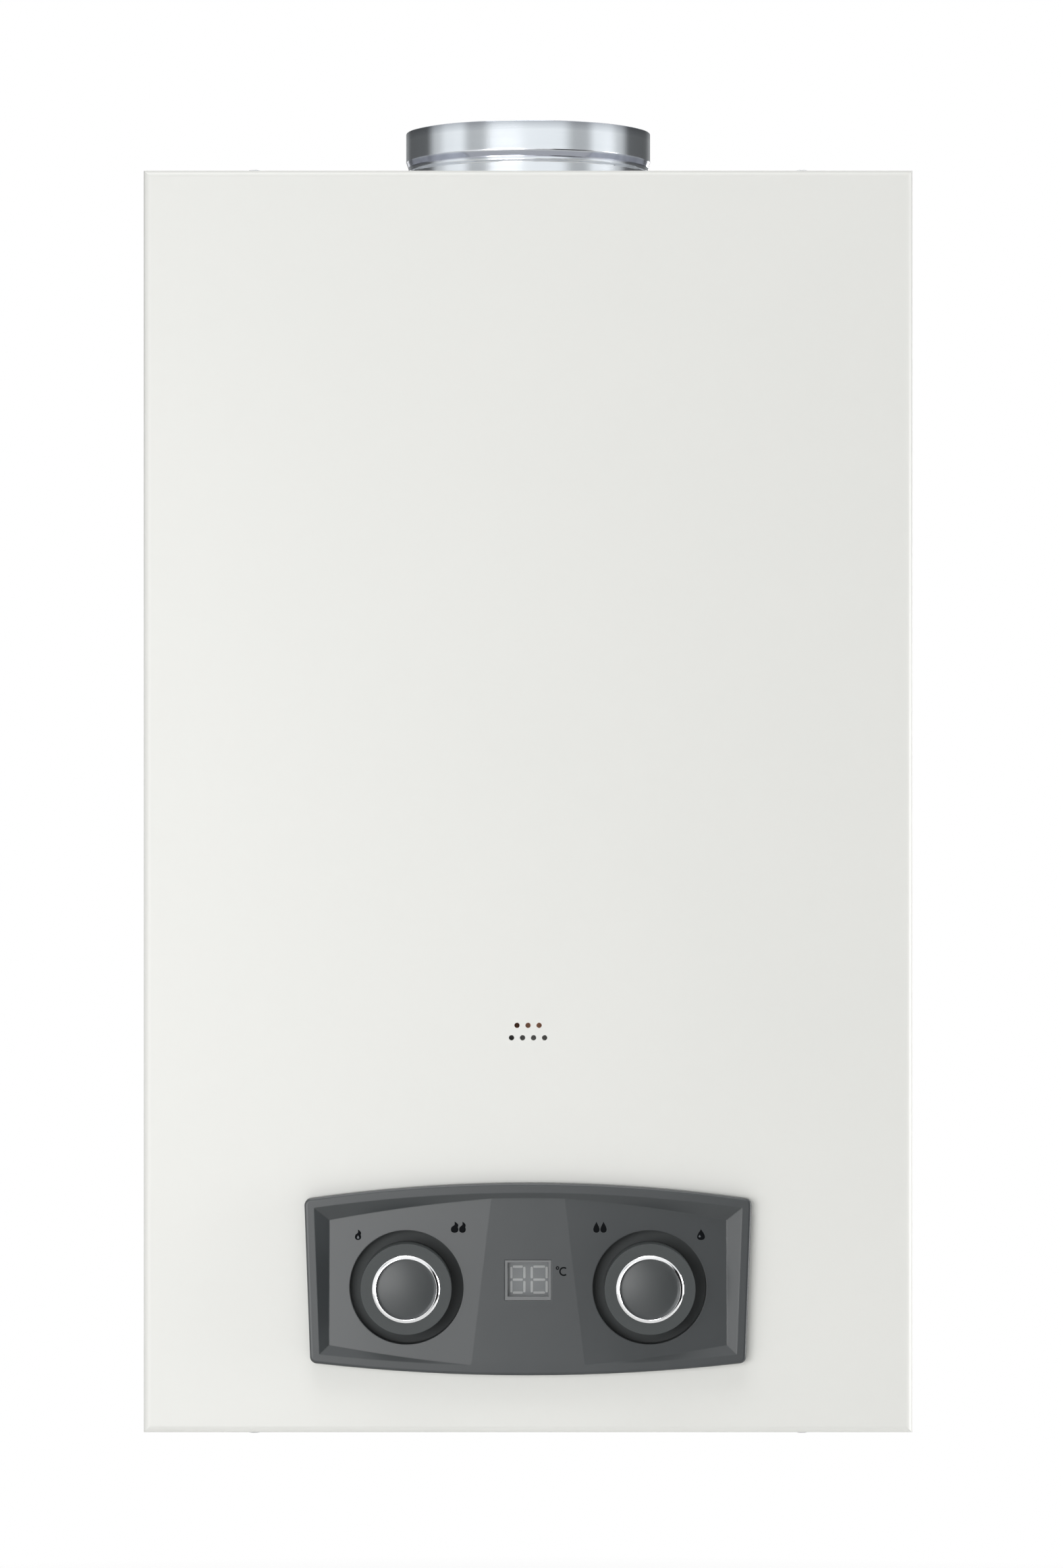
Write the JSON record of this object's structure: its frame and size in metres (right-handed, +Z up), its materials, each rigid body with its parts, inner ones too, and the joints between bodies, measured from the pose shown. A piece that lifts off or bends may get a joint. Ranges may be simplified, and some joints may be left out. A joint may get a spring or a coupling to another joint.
{
  "type": "instantaneous gas water heater",
  "caption": "Wall-hung flued gas water heater: white sheet-steel casing, round flue collar on top, grey control panel with turning knobs and a small display.",
  "frame": {"origin": "on the wall plane, at the middle of the casing's bottom edge", "axes": "+X to the right seen from the front, +Y into the wall, +Z up along the height"},
  "size_m": [0.335, 0.185, 0.5775],
  "materials": {
    "white_enamel": "satin",
    "zinc_steel": "satin",
    "bright_aluminium": "polished",
    "panel_grey": "satin",
    "knob_grey": "satin",
    "cap_grey": "satin",
    "chrome": "polished",
    "smoked_window": "gloss",
    "digit_block": "satin",
    "circuit_board": "satin",
    "copper": "satin",
    "brass": "satin",
    "stainless": "satin",
    "cast_aluminium": "matte",
    "rubber": "matte",
    "black_plastic": "satin",
    "white_ceramic": "gloss",
    "mica": "gloss",
    "cell_steel": "gloss",
    "screw_steel": "satin"
  },
  "bodies": {
    "casing": {"back_plate": "zinc_steel", "top_plate": "zinc_steel", "bottom_plate": "zinc_steel", "front_cover": "white_enamel", "control_panel": "panel_grey", "display_window": "smoked_window", "display_module": "digit_block", "display_board": "circuit_board", "flue_collar": "bright_aluminium", "draft_hood": "zinc_steel", "exhaust_cone": "zinc_steel", "combustion_chamber": "copper", "exchanger_fins": "copper", "exchanger_tube": "copper", "cold_pipe": "copper", "hot_pipe": "copper", "burner_tray": "stainless", "burner_blades": "stainless", "gas_manifold": "cast_aluminium", "gas_nozzles": "brass", "gas_feed_pipe": "cast_aluminium", "gas_valve_body": "cast_aluminium", "gas_valve_end_cap": "cast_aluminium", "solenoid_valve": "black_plastic", "water_valve_body": "brass", "diaphragm": "rubber", "diaphragm_cover": "brass", "diaphragm_screws": "screw_steel", "return_spring": "stainless", "microswitch": "black_plastic", "gas_inlet": "brass", "cold_inlet": "brass", "hot_outlet": "brass", "inlet_filter": "stainless", "battery_box": "black_plastic", "batteries": "cell_steel", "battery_contacts": "brass", "door_pin": "stainless", "control_box": "black_plastic", "electrode_insulators": "white_ceramic", "electrode_rods": "stainless", "sight_glass": "mica", "overheat_switch": "black_plastic", "temperature_sensor": "brass", "mounting_brackets": "zinc_steel", "cover_screws": "screw_steel", "collar_screws": "screw_steel", "panel_screws": "screw_steel"},
    "gas_knob_set": {"gas_knob": "knob_grey", "gas_knob_ring": "chrome", "gas_knob_cap": "cap_grey", "gas_spindle": "brass"},
    "water_knob_set": {"water_knob": "knob_grey", "water_knob_ring": "chrome", "water_knob_cap": "cap_grey", "water_spindle": "brass"},
    "battery_door_set": {"battery_door": "black_plastic"},
    "drain_plug_set": {"drain_plug": "brass"},
    "linkage_rod": {"push_rod": "stainless"},
    "switch_lever": {"microswitch_lever": "stainless"}
  },
  "joints": [
    {"name": "gas_knob_turn", "type": "hinge", "parent": "casing", "child": "gas_knob_set", "pos_m": [-0.0528, -0.17, 0.0638], "axis": [0, -1, 0], "range_deg": [-45, 45]},
    {"name": "water_knob_turn", "type": "hinge", "parent": "casing", "child": "water_knob_set", "pos_m": [0.0528, -0.17, 0.0638], "axis": [0, -1, 0], "range_deg": [-45, 45]},
    {"name": "battery_door_hinge", "type": "hinge", "parent": "casing", "child": "battery_door_set", "pos_m": [0.124, -0.069, 0.0265], "axis": [1, 0, 0], "range_deg": [0, 95]},
    {"name": "drain_plug_turn", "type": "hinge", "parent": "casing", "child": "drain_plug_set", "pos_m": [0.0528, -0.101, 0.03], "axis": [0, 0, 1], "range_deg": [0, 360]},
    {"name": "linkage_slide", "type": "slide", "parent": "casing", "child": "linkage_rod", "axis": [-1, 0, 0], "range_m": [0, 0.004], "stiffness_N_per_m": 600, "springref_m": -0.003, "deforming": ["return_spring"]},
    {"name": "switch_lever_swing", "type": "hinge", "parent": "casing", "child": "switch_lever", "pos_m": [-0.00835, -0.086, 0.0858], "axis": [0, 1, 0], "range_deg": [0, 17]}
  ],
  "couplings": [
    {"joint": "switch_lever_swing", "follows": "linkage_slide", "rad_per_m": 71.43}
  ]
}
